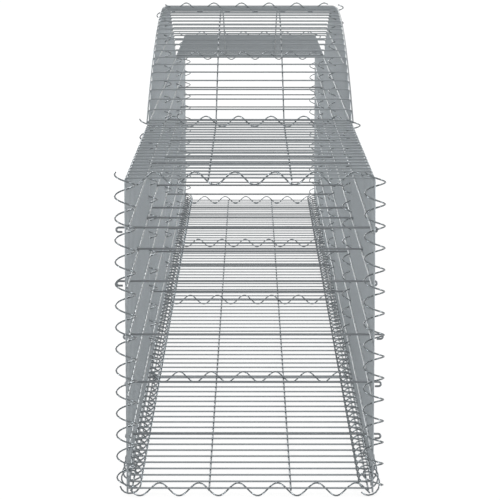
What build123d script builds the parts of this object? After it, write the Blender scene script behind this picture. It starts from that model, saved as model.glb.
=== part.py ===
from build123d import *
import math
import os

# An arched wire basket for a stone-filled wall, open at both ends.
# X runs across it, Y along it, Z up. The origin is under its middle, on the ground.

# Overall sizes, in millimetres
BAY_COUNT = 4
BAY_LENGTH = 1000.0
BASKET_WIDTH = 450.0
LOW_HEIGHT = 574.0
ARCH_RISE = 200.0
ARCH_BAYS = 2

# Wires: the welded mesh, the lacing coils and the stiffening rods
MESH_WIRE = 3.4
COIL_WIRE = 3.0
ROD_WIRE = 4.0

# The mesh: its main wires, every second one of the finished mesh
MAIN_STEPS = 10
SEAT_GAP = 0.3
COLUMN_WIDTH = 150.0
LEVEL_COUNT = 5
FIRST_LEVEL = 72.0
EDGE_INSET = 8.0
WALL_FOOT = 7.9

# Coils: a hexagon to a turn, with its flats at the stated radius
COIL_SIDES = 6
LACING_RADIUS = 11.7
LACING_PITCH = 72.0
LACING_END_CLEAR = 27.0
LACING_CREST = -33.0
NEAR_FLOOR_CREST = -19.0
NEAR_TOP_CREST = -26.0
CORNER_RADIUS = 18.5
CORNER_TURNS_PER_LEVEL = 2.5
CORNER_START = 22.0
EDGE_RADIUS = 19.0
EDGE_AXIS_INSET = 5.8
EDGE_COIL_CLEAR = 29.0
EDGE_COIL_PHASE = 6.5

# Rods: each one leans on a cross wire of the finished mesh, counted from a bay's first
FINE_STEPS = 20
GROUP_ROD_WIRES = [3, 3, 2, 2, 2]
SINGLE_ROD_WIRES = [9, 18]
SINGLE_ROD_LEVEL = 4
ROD_REACH = 11.5
ROD_SHIFT = 6.0
HOOK_DROP = 8.5
HOOK_RETURN = 7.0

RIGHT_HAND = 1
LEFT_HAND = -1

# What follows from them
length = BAY_COUNT * BAY_LENGTH
wall_x = BASKET_WIDTH / 2
floor_z = LACING_RADIUS + COIL_WIRE / 2
top_z = floor_z + LOW_HEIGHT
hexagon = math.pi / COIL_SIDES
lacing_grip = (LACING_RADIUS - COIL_WIRE / 2) / math.cos(hexagon)
first_wire = lacing_grip - MESH_WIRE / 2 * math.tan(hexagon) - 2 * SEAT_GAP - MESH_WIRE / 2
main_pitch = (BAY_LENGTH - 2 * first_wire) / MAIN_STEPS
fine_pitch = (BAY_LENGTH - 2 * first_wire) / FINE_STEPS
level_step = (LOW_HEIGHT - FIRST_LEVEL) / LEVEL_COUNT
corner_pitch = level_step / CORNER_TURNS_PER_LEVEL
edge_axis_z = EDGE_RADIUS + COIL_WIRE / 2
half_arch = ARCH_BAYS * BAY_LENGTH / 2
arch_radius = (half_arch**2 + ARCH_RISE**2) / (2 * ARCH_RISE)
arch_centre_z = top_z + ARCH_RISE - arch_radius


def bay_start(bay):
    """The Y of the joint plane at the near end of a bay, counted from 0."""
    return -length / 2 + bay * BAY_LENGTH


def is_arched(bay):
    middle = bay_start(bay) + BAY_LENGTH / 2
    return abs(middle) < half_arch


def top_at(y):
    """The height of the top wires' centres at one place along the basket."""
    if abs(y) >= half_arch:
        return top_z
    return arch_centre_z + math.sqrt(arch_radius**2 - y**2)


def wire_places(bay):
    """The Y of each main cross wire of a bay."""
    near = bay_start(bay) + first_wire
    return [near + step * main_pitch for step in range(MAIN_STEPS + 1)]


def bar(x_range, y_range, z_range):
    """A straight square bar between six planes."""
    low = Vector(x_range[0], y_range[0], z_range[0])
    size = Vector(x_range[1], y_range[1], z_range[1]) - low
    return Pos(low + size / 2) * Box(size.X, size.Y, size.Z)


def around(centre, width=MESH_WIRE):
    return (centre - width / 2, centre + width / 2)


def panel_run(bay):
    """How far a panel's lengthwise wires reach."""
    near = bay_start(bay) + SEAT_GAP / 2
    return (near, near + BAY_LENGTH - SEAT_GAP)


def welded(wires):
    """One solid from wires that lie face to face or cross."""
    return wires[0].fuse(*wires[1:])


def floor_panel(bay):
    """A flat mesh: cross wires over four lengthwise ones."""
    cross_end = wall_x - MESH_WIRE / 2 - SEAT_GAP
    wires = []
    for y in wire_places(bay):
        wires.append(bar((-cross_end, cross_end), around(y), around(floor_z)))
    edge_x = wall_x - EDGE_INSET
    for x in (-edge_x, -COLUMN_WIDTH / 2, COLUMN_WIDTH / 2, edge_x):
        wires.append(bar(around(x), panel_run(bay), around(floor_z - MESH_WIRE)))
    return welded(wires)


def curved_wire(x, run, sink):
    """A lengthwise wire bent to the arch, under its cross wires."""
    outer = arch_radius - MESH_WIRE / 2 + sink
    near, far = run
    with_centre = Pos(0, 0, arch_centre_z)
    ring = Circle(outer) - Circle(outer - MESH_WIRE)
    strip = Pos((near + far) / 2, outer - ARCH_RISE) * Rectangle(far - near, 3 * ARCH_RISE)
    sector = Plane.YZ * (ring & strip)
    bent = extrude(sector, MESH_WIRE)
    return with_centre * Pos(x - MESH_WIRE / 2, 0, 0) * bent


def top_panel(bay):
    """Cross wires at the height of the top, over two lengthwise ones."""
    cross_end = wall_x + MESH_WIRE / 2
    wires = []
    for y in wire_places(bay):
        wires.append(bar((-cross_end, cross_end), around(y), around(top_at(y))))
    for x in (-COLUMN_WIDTH / 2, COLUMN_WIDTH / 2):
        if is_arched(bay):
            wires.append(curved_wire(x, panel_run(bay), MESH_WIRE / 5))
        else:
            wires.append(bar(around(x), panel_run(bay), around(top_z - MESH_WIRE)))
    return welded(wires)


def level_run(bay, z):
    """How far a lengthwise wall wire reaches under the top at its height."""
    near, far = panel_run(bay)
    if z < top_z - MESH_WIRE:
        return (near, far)
    under_top = z + level_step / 4 - arch_centre_z
    reach = math.sqrt(arch_radius**2 - under_top**2)
    return (max(near, -reach), min(far, reach))


def level_heights(bay):
    """The heights of a wall's inner lengthwise wires."""
    top = top_at(0) if is_arched(bay) else top_z
    count = math.floor((top - floor_z - FIRST_LEVEL - level_step / 2) / level_step) + 1
    return [floor_z + FIRST_LEVEL + step * level_step for step in range(count)]


def wall_panel(side, bay):
    """Upright wires with lengthwise ones on their inner side."""
    upright_x = side * wall_x
    inner_x = side * (wall_x - MESH_WIRE)
    wires = []
    for y in wire_places(bay):
        upright_z = (floor_z - WALL_FOOT, top_at(y) - MESH_WIRE / 2)
        wires.append(bar(around(upright_x), around(y), upright_z))
    bottom_z = edge_axis_z + EDGE_RADIUS - COIL_WIRE / 2 - SEAT_GAP - MESH_WIRE / 2
    wires.append(bar(around(inner_x), panel_run(bay), around(bottom_z)))
    for z in level_heights(bay):
        wires.append(bar(around(inner_x), level_run(bay, z), around(z)))
    if is_arched(bay):
        coil_reach = CORNER_RADIUS + COIL_WIRE
        run = (bay_start(bay) + coil_reach, bay_start(bay + 1) - coil_reach)
        wires.append(curved_wire(side * (wall_x + MESH_WIRE), run, 0))
    else:
        wires.append(bar(around(inner_x), panel_run(bay), around(top_z - MESH_WIRE)))
    return welded(wires)


def coil(radius, pitch, hand, base_angle, base, low, high):
    """A wire wound about Z from low to high, faceted, with a flat outer side.

    The middle of one flat faces base_angle at the height base.
    """
    turn = 360 / COIL_SIDES
    rise = pitch / COIL_SIDES
    wire_rise = COIL_WIRE * math.hypot(1, pitch / (2 * math.pi * radius))
    section = [
        (COIL_WIRE / 2, -wire_rise / 2),
        (COIL_WIRE / 2, wire_rise / 2),
        (-COIL_WIRE / 2, 0),
    ]
    first = math.ceil((low - base) / rise - 0.5)
    last = math.floor((high - base) / rise - 0.5)
    rings = []
    for step in range(first, last + 1):
        angle = math.radians(base_angle + hand * (step + 0.5) * turn)
        ring = []
        for out, up in section:
            reach = (radius + out) / math.cos(math.pi / COIL_SIDES)
            height = base + (step + 0.5) * rise + up
            ring.append((reach * math.cos(angle), reach * math.sin(angle), height))
        rings.append(ring)
    faces = [Face(Wire.make_polygon(rings[0])), Face(Wire.make_polygon(rings[-1]))]
    for ring, after in zip(rings, rings[1:]):
        flat = [ring[0], ring[1], after[1], after[0]]
        faces.append(Face(Wire.make_polygon(flat)))
        for corner in (1, 2):
            other = (corner + 1) % 3
            faces.append(Face(Wire.make_polygon([ring[corner], ring[other], after[other]])))
            faces.append(Face(Wire.make_polygon([ring[corner], after[other], after[corner]])))
    return Solid(Shell(faces))


def lacing_coil(y, near_z, far_z, crest):
    """The coil across the basket that laces two panels' end wires at a joint."""
    reach = wall_x - LACING_END_CLEAR
    base = crest + LACING_PITCH / 2
    wound = coil(LACING_RADIUS, LACING_PITCH, RIGHT_HAND, -90, base, -reach, reach)
    across = (0, 2 * first_wire, far_z - near_z)
    frame = Plane(origin=(0, y, (near_z + far_z) / 2), x_dir=across, z_dir=(1, 0, 0))
    return frame.location * wound


def corner_leads(joint):
    """How far above the top wires the left and right coils pass in front.

    Each strand lies on, or just under, the lengthwise wires that it crosses.
    """
    slope = corner_pitch / COIL_SIDES / (2 * CORNER_RADIUS * math.tan(hexagon))
    strand = COIL_WIRE / 2 * math.hypot(1, corner_pitch / (2 * math.pi * CORNER_RADIUS))
    level_seat = (1 + slope) * MESH_WIRE / 2 + strand + SEAT_GAP
    wide = level_seat + slope * MESH_WIRE
    narrow = level_seat - slope * MESH_WIRE
    if joint == 0:
        return {"left": -wide, "right": -narrow}
    if joint == BAY_COUNT:
        return {"left": wide - corner_pitch / 2, "right": narrow}
    return {"left": wide - corner_pitch / 2, "right": wide}


def corner_coil(side, y, lead):
    """The upright coil that laces a wall's panels at a joint or an end."""
    high = top_at(y) + LACING_RADIUS + COIL_WIRE
    wound = coil(CORNER_RADIUS, corner_pitch, LEFT_HAND, -90, top_z + lead, CORNER_START, high)
    return Pos(side * wall_x, y, 0) * wound


def edge_coil(side, bay):
    """The coil along a bottom edge, one turn to a finished mesh step."""
    start = bay_start(bay)
    phase = start + first_wire - side * EDGE_COIL_PHASE
    low = start + EDGE_COIL_CLEAR
    high = start + BAY_LENGTH - EDGE_COIL_CLEAR
    wound = coil(EDGE_RADIUS, fine_pitch, LEFT_HAND, -90, phase, low, high)
    axis_x = side * (wall_x - EDGE_AXIS_INSET)
    frame = Plane(origin=(axis_x, 0, edge_axis_z), x_dir=(-1, 0, 0), z_dir=(0, 1, 0))
    return frame.location * wound


def rod(y, z, shift):
    """A stiffening rod across the basket, hooked outside both walls."""
    reach = wall_x + ROD_REACH
    bend = HOOK_DROP / 2
    half = [
        (reach, 0),
        (reach + bend, -bend),
        (reach, -HOOK_DROP),
        (reach - HOOK_RETURN, -HOOK_DROP),
    ]
    places = [(-x, drop) for x, drop in reversed(half)] + half
    path = Polyline(*[(x + shift, y, z + drop) for x, drop in places])
    section = Plane(origin=path @ 0, x_dir=(0, 1, 0), z_dir=path % 0) * Rectangle(ROD_WIRE, ROD_WIRE)
    return sweep(section, path=path, transition=Transition.RIGHT)


def rod_group(bay):
    """The rods of a bay: one under each level, and single ones further on."""
    near = bay_start(bay) + first_wire
    seat = (MESH_WIRE + ROD_WIRE) / 2
    lean = seat + SEAT_GAP
    rods = []
    for step, wire in enumerate(GROUP_ROD_WIRES):
        z = floor_z + FIRST_LEVEL + step * level_step - seat
        shift = ROD_SHIFT if step < LEVEL_COUNT / 2 else -ROD_SHIFT
        rods.append(rod(near + wire * fine_pitch - lean, z, shift))
    single_z = floor_z + FIRST_LEVEL + (SINGLE_ROD_LEVEL - 1) * level_step + seat
    for wire in SINGLE_ROD_WIRES:
        rods.append(rod(near + wire * fine_pitch - lean, single_z, -ROD_SHIFT))
    return Compound(rods)


def save(node, shape):
    export_step(shape, "parts/" + node + ".step")


os.makedirs("parts", exist_ok=True)

sides = {"left": -1, "right": 1}
for bay in range(BAY_COUNT):
    number = str(bay + 1)
    save("floor_panel_" + number, floor_panel(bay))
    save("top_panel_" + number, top_panel(bay))
    save("rods_" + number, rod_group(bay))
    for name, side in sides.items():
        save(name + "_wall_" + number, wall_panel(side, bay))

for name, side in sides.items():
    save(name + "_edge_coil", Compound([edge_coil(side, bay) for bay in range(BAY_COUNT)]))

for joint in range(BAY_COUNT + 1):
    number = str(joint + 1)
    joint_y = bay_start(joint)
    near = joint == 0
    floor_crest = NEAR_FLOOR_CREST if near else LACING_CREST
    top_crest = NEAR_TOP_CREST if near else LACING_CREST
    near_top = top_at(joint_y - first_wire)
    far_top = top_at(joint_y + first_wire)
    save("floor_lacing_" + number, lacing_coil(joint_y, floor_z, floor_z, floor_crest))
    save("top_lacing_" + number, lacing_coil(joint_y, near_top, far_top, top_crest))
    for name, lead in corner_leads(joint).items():
        save(name + "_corner_coil_" + number, corner_coil(sides[name], joint_y, lead))
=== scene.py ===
# %% [markdown]
# An arched gabion basket: four bays of welded mesh in galvanised wire, open at
# both ends. The CAD model is loaded first and stays fixed. It holds every
# second wire of the mesh as a square bar, and this scene dresses each panel
# with all of its wires, round and bent as the real ones are.

# %% Load the CAD frame
import math

import bmesh
import bpy
from mathutils import Matrix, Vector


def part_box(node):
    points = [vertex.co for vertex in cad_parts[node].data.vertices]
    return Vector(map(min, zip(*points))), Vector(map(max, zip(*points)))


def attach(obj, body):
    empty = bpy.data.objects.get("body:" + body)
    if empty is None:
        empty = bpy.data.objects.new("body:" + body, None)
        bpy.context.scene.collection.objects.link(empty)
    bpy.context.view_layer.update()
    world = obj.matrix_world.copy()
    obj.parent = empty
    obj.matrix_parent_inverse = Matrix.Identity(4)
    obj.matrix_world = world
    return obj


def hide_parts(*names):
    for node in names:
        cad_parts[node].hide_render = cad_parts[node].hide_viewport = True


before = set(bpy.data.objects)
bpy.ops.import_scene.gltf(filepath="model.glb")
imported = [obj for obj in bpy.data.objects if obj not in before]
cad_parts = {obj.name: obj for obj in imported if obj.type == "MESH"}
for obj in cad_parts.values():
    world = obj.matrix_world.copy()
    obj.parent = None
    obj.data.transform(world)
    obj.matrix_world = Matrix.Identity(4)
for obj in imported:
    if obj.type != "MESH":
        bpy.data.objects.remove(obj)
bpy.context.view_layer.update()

# %% [markdown]
# The camera comes first.
# The basket is seen from its open end through a long lens, from a little above
# its top. The camera looks slightly down and stays level from side to side.

# %% Camera
IMAGE_PIXELS = 500
FOCAL_PIXELS = 2390
SENSOR = 36.0
CAMERA_PLACE = (0, -6.262, 1.1184)
LOOK_DOWN = 8.822

camera_data = bpy.data.cameras.new("camera")
camera_data.sensor_width = SENSOR
camera_data.lens = SENSOR * FOCAL_PIXELS / IMAGE_PIXELS
camera = bpy.data.objects.new("camera", camera_data)
camera.location = CAMERA_PLACE
camera.rotation_euler = (math.radians(90 - LOOK_DOWN), 0, 0)
bpy.context.scene.collection.objects.link(camera)
bpy.context.scene.camera = camera
print("lens:", round(camera_data.lens, 1), "mm")

# %% [markdown]
# The main sizes, in metres. They are the CAD's own. The places of the floor,
# the top and the walls are measured on it, so the wires stay on the solids. The
# lowest lengthwise wire of a wall lies on top of the coil that laces its edge.
# X runs across the basket, Y along it, away from the camera, and Z up.

# %% Sizes
BAY_COUNT = 4
BAY_LENGTH = 1.0
FINE_STEPS = 20
ARCH_RISE = 0.2
MESH_WIRE = 0.0034
COIL_WIRE = 0.003
ROD_WIRE = 0.004
LEVEL_COUNT = 5
FIRST_LEVEL = 0.072
FIRST_WIRE = 0.0085
EDGE_RADIUS = 0.019
SEAT_GAP = 0.0003
ACROSS = Vector((1, 0, 0))
ALONG = Vector((0, 1, 0))
UP = Vector((0, 0, 1))
SIDES = {"left": -1, "right": 1}

floor_low, floor_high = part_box("floor_panel_1")
_, top_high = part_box("top_panel_1")
wall_low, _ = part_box("left_wall_1")
floor_z = floor_high.z - MESH_WIRE / 2
top_z = top_high.z - MESH_WIRE / 2
wall_x = -wall_low.x - MESH_WIRE / 2
foot_z = wall_low.z
fine_pitch = (BAY_LENGTH - 2 * FIRST_WIRE) / FINE_STEPS
level_step = (top_z - floor_z - FIRST_LEVEL) / LEVEL_COUNT
bottom_level = 2 * EDGE_RADIUS - SEAT_GAP - MESH_WIRE / 2
half_arch = BAY_LENGTH
arch_radius = (half_arch**2 + ARCH_RISE**2) / (2 * ARCH_RISE)
arch_centre_z = top_z + ARCH_RISE - arch_radius
print("floor", round(floor_z, 4), "top", round(top_z, 4), "wall", round(wall_x, 4))
print("mesh pitch:", round(fine_pitch * 1000, 2), "mm")


def bay_start(bay):
    """The joint plane at the near end of a bay, counted from 0."""
    return (bay - BAY_COUNT / 2) * BAY_LENGTH


def is_arched(bay):
    """Whether a bay is one of the two under the arch."""
    return abs(bay_start(bay) + BAY_LENGTH / 2) < half_arch


def top_at(y):
    """The height of the top wires' centres."""
    if abs(y) >= half_arch:
        return top_z
    return arch_centre_z + math.sqrt(arch_radius**2 - y**2)


def wire_places(bay):
    """The Y of each cross wire of a bay, the first and the last near its joints."""
    near = bay_start(bay) + FIRST_WIRE
    return [near + step * fine_pitch for step in range(FINE_STEPS + 1)]


# %% [markdown]
# A wire is a circle pulled along its path. Blender could bevel a curve for it,
# but a mesh made with bmesh shows each bend as the machine makes it: the end
# face is extruded along a straight run, and spun about a pin for a bend. A
# spin that also moves along its axis winds a coil. A face that the wire has
# grown past is taken out, so that each wire is one closed skin. Eight sides are
# enough for a wire that is two pixels thick.

# %% Wire tools
WIRE_SIDES = 8
QUARTER_TURN = math.radians(90)
HALF_TURN = math.radians(180)


def start_wire(bm, width, start, along):
    """The first end of a wire, a filled circle that faces along."""
    turn = along.to_track_quat("Z", "Y").to_matrix().to_4x4()
    made = bmesh.ops.create_circle(
        bm,
        cap_ends=True,
        segments=WIRE_SIDES,
        radius=width / 2,
        matrix=Matrix.Translation(start) @ turn,
    )
    return made["verts"][0].link_faces[0]


def joins_sides(face):
    """Whether a wire already leads up to this end face."""
    return all(len(edge.link_faces) == 2 for edge in face.edges)


def pull(bm, end, step):
    """Extrudes a wire's end face by a step and returns the new end."""
    within = joins_sides(end)
    made = bmesh.ops.extrude_face_region(bm, geom=[end])["geom"]
    moved = [part for part in made if isinstance(part, bmesh.types.BMVert)]
    bmesh.ops.translate(bm, vec=step, verts=moved)
    if within and end.is_valid:
        bm.faces.remove(end)
    return next(part for part in made if isinstance(part, bmesh.types.BMFace))


def bend(bm, end, pin, axis, angle, steps, climb=(0, 0, 0)):
    """Spins a wire's end about a pin, with a climb at each step, and returns it."""
    within = joins_sides(end)
    made = bmesh.ops.spin(
        bm, geom=[end], cent=pin, axis=axis, dvec=climb, angle=angle, steps=steps
    )
    if within and end.is_valid:
        bm.faces.remove(end)
    last = made["geom_last"]
    return next(part for part in last if isinstance(part, bmesh.types.BMFace))


def straight_wire(bm, width, start, end):
    """A wire from one point to another."""
    run = Vector(end) - Vector(start)
    pull(bm, start_wire(bm, width, start, run), run)


# %% [markdown]
# Each piece gets its finish, rides on the one fixed body and hides the CAD
# nodes that it stands for. The sides of a wire are shaded smooth, and its cut ends
# stay flat with a sharp edge. Without that edge the end's normal would tilt the
# shading along the whole of a straight wire, and its highlights would fade.

# %% Finishing a piece
materials = {}


def finish_piece(bm, name, slot, nodes):
    """Makes a piece from its bmesh. The faces along a wire are its quads."""
    bmesh.ops.recalc_face_normals(bm, faces=bm.faces)
    for face in bm.faces:
        face.smooth = len(face.verts) == 4
        if not face.smooth:
            for edge in face.edges:
                edge.smooth = False
    mesh = bpy.data.meshes.new(name)
    bm.to_mesh(mesh)
    bm.free()
    mesh.materials.append(materials[slot])
    piece = bpy.data.objects.new(name, mesh)
    bpy.context.scene.collection.objects.link(piece)
    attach(piece, "root")
    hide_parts(*nodes)
    print(name, len(mesh.polygons), "faces")


# %% [markdown]
# The wire is drawn low-carbon steel, galvanised in hot zinc. Zinc is a metal
# of a bluish grey, duller than bright steel, with soft highlights that break
# up a little from one length to the next. So the shader is metallic, with a
# roughness that a noise of some 20 mm moves slightly. The coils are a finer,
# smoother wire than the mesh, darker and with sharper highlights, and the rods
# are in between.

# %% Materials
FINISH_PATCH = 0.02
PATCH_DETAIL = 2.0
ROUGHNESS_SPREAD = 0.08


def linear(value):
    """One sRGB channel, from 0 to 1, as linear light."""
    if value <= 0.04045:
        return value / 12.92
    return ((value + 0.055) / 1.055) ** 2.4


def srgb(code):
    """The linear colour of an sRGB hex code."""
    return (*(linear(int(code[i : i + 2], 16) / 255) for i in (1, 3, 5)), 1.0)


def add_node(tree, kind, inputs=None, **settings):
    """A node with its settings; an input is a value or another node's output."""
    node = tree.nodes.new(kind)
    for key, value in settings.items():
        setattr(node, key, value)
    for key, value in (inputs or {}).items():
        if isinstance(value, bpy.types.NodeSocket):
            tree.links.new(value, node.inputs[key])
        else:
            node.inputs[key].default_value = value
    return node


def galvanised_wire(name, colour, roughness):
    """Hot-dip galvanised steel wire, a little rougher in some patches."""
    material = bpy.data.materials.new(name)
    material.use_nodes = True
    tree = material.node_tree
    tree.nodes.clear()
    place = add_node(tree, "ShaderNodeTexCoord")
    patches = add_node(
        tree,
        "ShaderNodeTexNoise",
        {
            "Vector": place.outputs["Object"],
            "Scale": 1 / FINISH_PATCH,
            "Detail": PATCH_DETAIL,
        },
    )
    rough = add_node(
        tree,
        "ShaderNodeMapRange",
        {
            "Value": patches.outputs["Fac"],
            "To Min": roughness - ROUGHNESS_SPREAD,
            "To Max": roughness + ROUGHNESS_SPREAD,
        },
    )
    shader = add_node(
        tree,
        "ShaderNodeBsdfPrincipled",
        {
            "Base Color": srgb(colour),
            "Metallic": 1.0,
            "Roughness": rough.outputs["Result"],
        },
    )
    add_node(tree, "ShaderNodeOutputMaterial", {"Surface": shader.outputs["BSDF"]})
    materials[name] = material


galvanised_wire("mesh_wire", colour="#868b8e", roughness=0.38)
galvanised_wire("coil_wire", colour="#6e7376", roughness=0.18)
galvanised_wire("rod_wire", colour="#707477", roughness=0.34)
print("finishes:", sorted(materials))

# %% [markdown]
# The floor mesh of a bay is flat. Its cross wires lie on four lengthwise
# wires, and each crossing is a resistance weld: the two wires are squeezed
# together while they glow, and sink half a millimetre into each other.

# %% Floor mesh
WELD_SINK = 0.0005
WIRE_TIP = 0.0045
EDGE_INSET = 0.008
COLUMN_WIDTH = 0.15
weld_step = MESH_WIRE - WELD_SINK


def panel_run(bay):
    """How far the lengthwise wires reach past the first and last cross wires."""
    near = bay_start(bay) + FIRST_WIRE - WIRE_TIP
    return near, near + BAY_LENGTH - 2 * (FIRST_WIRE - WIRE_TIP)


def floor_mesh(bay):
    """The floor of one bay."""
    bm = bmesh.new()
    left, right = floor_low.x, floor_high.x
    for y in wire_places(bay):
        straight_wire(bm, MESH_WIRE, (left, y, floor_z), (right, y, floor_z))
    near, far = panel_run(bay)
    z = floor_z - weld_step
    edge_x = wall_x - EDGE_INSET
    for x in (-edge_x, -COLUMN_WIDTH / 2, COLUMN_WIDTH / 2, edge_x):
        straight_wire(bm, MESH_WIRE, (x, near, z), (x, far, z))
    number = str(bay + 1)
    finish_piece(bm, "floor_mesh_" + number, "mesh_wire", ["floor_panel_" + number])


for bay in range(BAY_COUNT):
    floor_mesh(bay)

# %% [markdown]
# Walls and top are one mesh, welded flat and then bent over two bars, so each
# cross wire is an upside-down U with tight corners. Its lengthwise wires are
# welded inside the walls and under the top. In the arched bays the wires along
# the top edges are bent to the arch and welded outside the walls.

# %% Wall and top mesh
CORNER_BEND = 0.005
BEND_STEPS = 4
ARCH_STEPS = 24
CLEAR_OF_TOP = 0.25


def bent_wire(bm, y):
    """One cross wire, up a wall, over the top and down the other wall."""
    x = wall_x - CORNER_BEND
    z = top_at(y) - CORNER_BEND
    rise = z - foot_z
    end = start_wire(bm, MESH_WIRE, (-wall_x, y, foot_z), UP)
    end = pull(bm, end, UP * rise)
    end = bend(bm, end, (-x, y, z), ALONG, QUARTER_TURN, BEND_STEPS)
    end = pull(bm, end, ACROSS * 2 * x)
    end = bend(bm, end, (x, y, z), ALONG, QUARTER_TURN, BEND_STEPS)
    pull(bm, end, UP * -rise)


def arch_wire(bm, x, drop, run):
    """A lengthwise wire that follows the arch, drop below its cross wires."""
    radius = arch_radius - drop
    start, last = (math.asin(y / radius) for y in run)
    sine, cosine = math.sin(start), math.cos(start)
    place = (x, radius * sine, arch_centre_z + radius * cosine)
    end = start_wire(bm, MESH_WIRE, place, Vector((0, cosine, -sine)))
    pin = (x, 0, arch_centre_z)
    bend(bm, end, pin, -ACROSS, last - start, ARCH_STEPS)


def level_run(bay, z):
    """How far a wall's lengthwise wire reaches.

    Over the flat top it ends where the arch is still a quarter of a level above it.
    """
    near, far = panel_run(bay)
    if z < top_z - MESH_WIRE:
        return near, far
    over = z + CLEAR_OF_TOP * level_step - arch_centre_z
    reach = math.sqrt(arch_radius**2 - over**2)
    return max(near, -reach), min(far, reach)


def level_heights(bay):
    """Heights of a wall's lengthwise wires, up to half a level under the top."""
    top = top_at(0) if is_arched(bay) else top_z
    lowest = floor_z + FIRST_LEVEL
    count = math.floor((top - lowest) / level_step - 0.5) + 1
    return [bottom_level, *(lowest + step * level_step for step in range(count))]


def wall_and_top_mesh(bay):
    """Both walls and the top of one bay."""
    bm = bmesh.new()
    for y in wire_places(bay):
        bent_wire(bm, y)
    for side in SIDES.values():
        x = side * (wall_x - weld_step)
        for z in level_heights(bay):
            near, far = level_run(bay, z)
            straight_wire(bm, MESH_WIRE, (x, near, z), (x, far, z))
    run = panel_run(bay)
    for side in SIDES.values():
        column_x = side * COLUMN_WIDTH / 2
        if is_arched(bay):
            arch_wire(bm, column_x, weld_step, run)
            arch_wire(bm, side * (wall_x + weld_step), weld_step, run)
        else:
            z = top_z - weld_step
            edge_x = side * (wall_x - weld_step)
            for x in (column_x, edge_x):
                straight_wire(bm, MESH_WIRE, (x, run[0], z), (x, run[1], z))
    number = str(bay + 1)
    nodes = ["top_panel_" + number, "left_wall_" + number, "right_wall_" + number]
    finish_piece(bm, "wall_and_top_mesh_" + number, "mesh_wire", nodes)


for bay in range(BAY_COUNT):
    wall_and_top_mesh(bay)

# %% [markdown]
# Stiffening rods keep the walls from bulging when the stones go in. Each one
# runs straight across, leans on a cross wire of the walls, and is hooked down
# outside them.

# %% Rods
GROUP_ROD_WIRES = (3, 3, 2, 2, 2)
SINGLE_ROD_WIRES = (9, 18)
SINGLE_ROD_LEVEL = 3
ROD_SHIFT = 0.006
ROD_REACH = 0.0115
HOOK_DROP = 0.0085
HOOK_RETURN = 0.007
HOOK_STEPS = 8


def rod(bm, y, z, shift):
    """A rod from hook tip to hook tip."""
    left = shift - wall_x - ROD_REACH
    right = shift + wall_x + ROD_REACH
    low = z - HOOK_DROP
    middle = z - HOOK_DROP / 2
    end = start_wire(bm, ROD_WIRE, (left + HOOK_RETURN, y, low), -ACROSS)
    end = pull(bm, end, ACROSS * -HOOK_RETURN)
    end = bend(bm, end, (left, y, middle), ALONG, HALF_TURN, HOOK_STEPS)
    end = pull(bm, end, ACROSS * (right - left))
    end = bend(bm, end, (right, y, middle), ALONG, HALF_TURN, HOOK_STEPS)
    pull(bm, end, ACROSS * -HOOK_RETURN)


def bay_rods(bay):
    """Five rods, each under a level, then two single ones over the fourth level."""
    bm = bmesh.new()
    near = bay_start(bay) + FIRST_WIRE
    seat = (MESH_WIRE + ROD_WIRE) / 2
    lean = seat + SEAT_GAP
    for step, wire in enumerate(GROUP_ROD_WIRES):
        z = floor_z + FIRST_LEVEL + step * level_step - seat
        shift = ROD_SHIFT if step < LEVEL_COUNT / 2 else -ROD_SHIFT
        rod(bm, near + wire * fine_pitch - lean, z, shift)
    z = floor_z + FIRST_LEVEL + SINGLE_ROD_LEVEL * level_step + seat
    for wire in SINGLE_ROD_WIRES:
        rod(bm, near + wire * fine_pitch - lean, z, -ROD_SHIFT)
    number = str(bay + 1)
    finish_piece(bm, "hooked_rods_" + number, "rod_wire", ["rods_" + number])


for bay in range(BAY_COUNT):
    bay_rods(bay)

# %% [markdown]
# Every joint is laced with a coil that is screwed through both meshes. A coil
# is a spin with a climb: the wire's end turns about the axis and moves along
# it by the same amount at each step. Coils are right- or left-handed, and the
# start angle comes from where a strand passes a known side.

# %% Coil tool
TURN_STEPS = 16
RIGHT_HAND = 1
LEFT_HAND = -1


def wind(bm, centre, axis, side, radius, pitch, hand, passes, run):
    """A coil about an axis through centre, over a run along it.

    A strand is on this side of the axis at the place called passes.
    """
    side = side.normalized()
    low, high = run
    steps = round((high - low) / pitch * TURN_STEPS)
    angle = hand * math.tau * (high - low) / pitch
    start_angle = hand * math.tau * (low - passes) / pitch
    out = Matrix.Rotation(start_angle, 3, axis) @ side
    around = hand * axis.cross(out)
    place = Vector(centre) + axis * low + out * radius
    along = around * math.tau * radius + axis * pitch
    end = start_wire(bm, COIL_WIRE, place, along)
    bend(bm, end, centre, axis, angle, steps, axis * (high - low) / steps)


# %% [markdown]
# The lacing coils lie across the basket, one in the floor and one in the top
# at each joint. Their pitch is wide, so from the open end they show as waves.
# The one at an end of the arch leans half-way between the flat and the slope.
# The crests are the places across the basket where the waves are highest.

# %% Lacing coils
LACING_RADIUS = 0.0117
LACING_PITCH = 0.072
FLOOR_CREST = -0.013
TOP_CREST = -0.022
NEAR_FLOOR_CREST = -0.019
NEAR_TOP_CREST = -0.026
FLOOR_LACING_REACH = 0.219
TOP_LACING_REACH = 0.203


def lacing(node, y, near_z, far_z, crest, reach):
    """One coil across the basket that joins the wires on both sides of a joint."""
    bm = bmesh.new()
    lean = Vector((0, 2 * FIRST_WIRE, far_z - near_z))
    square = ACROSS.cross(lean)
    centre = (0, y, (near_z + far_z) / 2)
    run = (-reach, reach)
    wind(
        bm, centre, ACROSS, square, LACING_RADIUS, LACING_PITCH, RIGHT_HAND, crest, run
    )
    finish_piece(bm, "coil_" + node, "coil_wire", [node])


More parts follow.
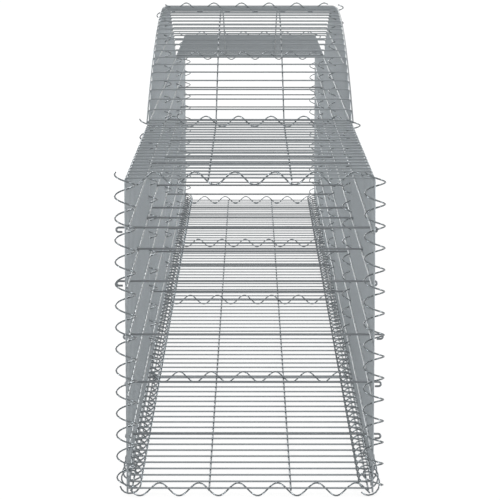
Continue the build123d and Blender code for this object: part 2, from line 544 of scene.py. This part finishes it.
for joint in range(BAY_COUNT + 1):
    number = str(joint + 1)
    y = bay_start(joint)
    floor_crest = NEAR_FLOOR_CREST if joint == 0 else FLOOR_CREST
    top_crest = NEAR_TOP_CREST if joint == 0 else TOP_CREST
    near_top, far_top = top_at(y - FIRST_WIRE), top_at(y + FIRST_WIRE)
    floor_node, top_node = "floor_lacing_" + number, "top_lacing_" + number
    lacing(floor_node, y, floor_z, floor_z, floor_crest, FLOOR_LACING_REACH)
    lacing(top_node, y, near_top, far_top, top_crest, TOP_LACING_REACH)

# %% [markdown]
# The corner coils stand upright in the walls at both ends and at each joint.
# They are wider and wound closer, and they run from just above the floor to
# just past the top. A lead is how far above the top wires a coil passes in
# front of the joint, and it is another one at the crown. The pitch and the
# leads follow the real basket more closely than the CAD's solids can.

# %% Corner coils
CORNER_RADIUS = 0.0185
CORNER_START = 0.018
CORNER_PITCH = 0.0399
CORNER_LEADS = {"left": -0.0025, "right": 0.0028}
CROWN_LEAD = 0.0098


def corner_coil(node, x, y, passes):
    """One upright coil, as high as its CAD node."""
    _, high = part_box(node)
    run = (CORNER_START, high.z - COIL_WIRE)
    bm = bmesh.new()
    wind(
        bm, (x, y, 0), UP, -ALONG, CORNER_RADIUS, CORNER_PITCH, LEFT_HAND, passes, run
    )
    finish_piece(bm, "upright_" + node, "coil_wire", [node])


for joint in range(BAY_COUNT + 1):
    y = bay_start(joint)
    for name, side in SIDES.items():
        lead = CROWN_LEAD if y == 0 else CORNER_LEADS[name]
        node = name + "_corner_coil_" + str(joint + 1)
        corner_coil(node, side * wall_x, y, top_z + lead)

# %% [markdown]
# The edge coils hold each wall's feet to the floor mesh. They make one turn to
# each cross wire, there is one length of coil to a bay, and all of one side's
# lengths make one piece.

# %% Edge coils
EDGE_AXIS_INSET = 0.0058
EDGE_COIL_STARTS = {"left": 0.004, "right": -0.005}
EDGE_COIL_LENGTH = 0.998
EDGE_COIL_PHASE = 0.0065

for name, side in SIDES.items():
    bm = bmesh.new()
    centre = (side * (wall_x - EDGE_AXIS_INSET), 0, EDGE_RADIUS + COIL_WIRE / 2)
    for bay in range(BAY_COUNT):
        lowest = bay_start(bay) + FIRST_WIRE - side * EDGE_COIL_PHASE
        start = bay_start(bay) + EDGE_COIL_STARTS[name]
        run = (start, start + EDGE_COIL_LENGTH)
        wind(
            bm, centre, ALONG, -UP, EDGE_RADIUS, fine_pitch, LEFT_HAND, lowest, run
        )
    finish_piece(bm, name + "_edge_lacing", "coil_wire", [name + "_edge_coil"])

# %% [markdown]
# The studio is plain: a white floor, a white world and far lamps. The white
# that the camera and the wire's reflections see is mostly the paper's own glow,
# at a strength of 1. A part of it stays matt, so that the floor keeps a shadow,
# and the glow lights nothing, so that the zinc keeps its own grey.

# %% Studio
FLOOR_SIZE = 60.0
PAPER_GLOW = 0.8

bm = bmesh.new()
bmesh.ops.create_grid(bm, x_segments=1, y_segments=1, size=FLOOR_SIZE)
floor_plate = bpy.data.meshes.new("studio_floor")
bm.to_mesh(floor_plate)
bm.free()
studio_floor = bpy.data.objects.new("studio_floor", floor_plate)
bpy.context.scene.collection.objects.link(studio_floor)

paper = bpy.data.materials.new("white_paper")
paper.use_nodes = True
tree = paper.node_tree
tree.nodes.clear()
rays = add_node(tree, "ShaderNodeLightPath")
seen = add_node(
    tree,
    "ShaderNodeMath",
    {0: rays.outputs["Is Camera Ray"], 1: rays.outputs["Is Glossy Ray"]},
    operation="MAXIMUM",
)
seen = add_node(
    tree,
    "ShaderNodeMath",
    {0: seen.outputs["Value"], 1: rays.outputs["Is Transmission Ray"]},
    operation="MAXIMUM",
)
share = add_node(
    tree,
    "ShaderNodeMath",
    {0: seen.outputs["Value"], 1: PAPER_GLOW},
    operation="MULTIPLY",
)
matt = add_node(tree, "ShaderNodeBsdfDiffuse", {"Color": srgb("#ffffff")})
bright = add_node(tree, "ShaderNodeEmission", {"Strength": 1.0})
mixed = add_node(
    tree,
    "ShaderNodeMixShader",
    {0: share.outputs["Value"], 1: matt.outputs["BSDF"], 2: bright.outputs["Emission"]},
)
add_node(tree, "ShaderNodeOutputMaterial", {"Surface": mixed.outputs["Shader"]})
floor_plate.materials.append(paper)

world = bpy.data.worlds.new("white_room")
bpy.context.scene.world = world
world.use_nodes = True
tree = world.node_tree
tree.nodes.clear()
sky = add_node(tree, "ShaderNodeBackground", {"Color": (1, 1, 1, 1), "Strength": 1.0})
add_node(tree, "ShaderNodeOutputWorld", {"Surface": sky.outputs["Background"]})

# %% [markdown]
# Four far lamps. A round wire mirrors light only in a cone about its own
# direction, so each lamp is placed for the wires that it brings out. The two
# low ones at the sides are for the upright wires of the walls, the one behind
# draws a light line on each lengthwise wire, and the small one overhead puts a
# streak on the coils.

# %% Lamps


def far_lamp(name, turn, rise, strength, width):
    """A far lamp. Its turn from the camera's side, rise and width are in degrees."""
    data = bpy.data.lights.new(name, "SUN")
    data.energy = strength
    data.angle = math.radians(width)
    lamp = bpy.data.objects.new(name, data)
    turned, risen = math.radians(turn), math.radians(rise)
    level = math.cos(risen)
    toward = Vector(
        (math.sin(turned) * level, -math.cos(turned) * level, math.sin(risen))
    )
    lamp.rotation_euler = toward.to_track_quat("Z", "Y").to_euler()
    bpy.context.scene.collection.objects.link(lamp)


far_lamp("right", turn=75, rise=3, strength=3.0, width=25)
far_lamp("left", turn=-75, rise=3, strength=2.2, width=25)
far_lamp("behind", turn=-162, rise=16, strength=0.6, width=20)
far_lamp("over", turn=20, rise=50, strength=0.4, width=8)

# %% [markdown]
# The colours are shown as they are.

# %% Finish
bpy.context.scene.view_settings.view_transform = "Standard"
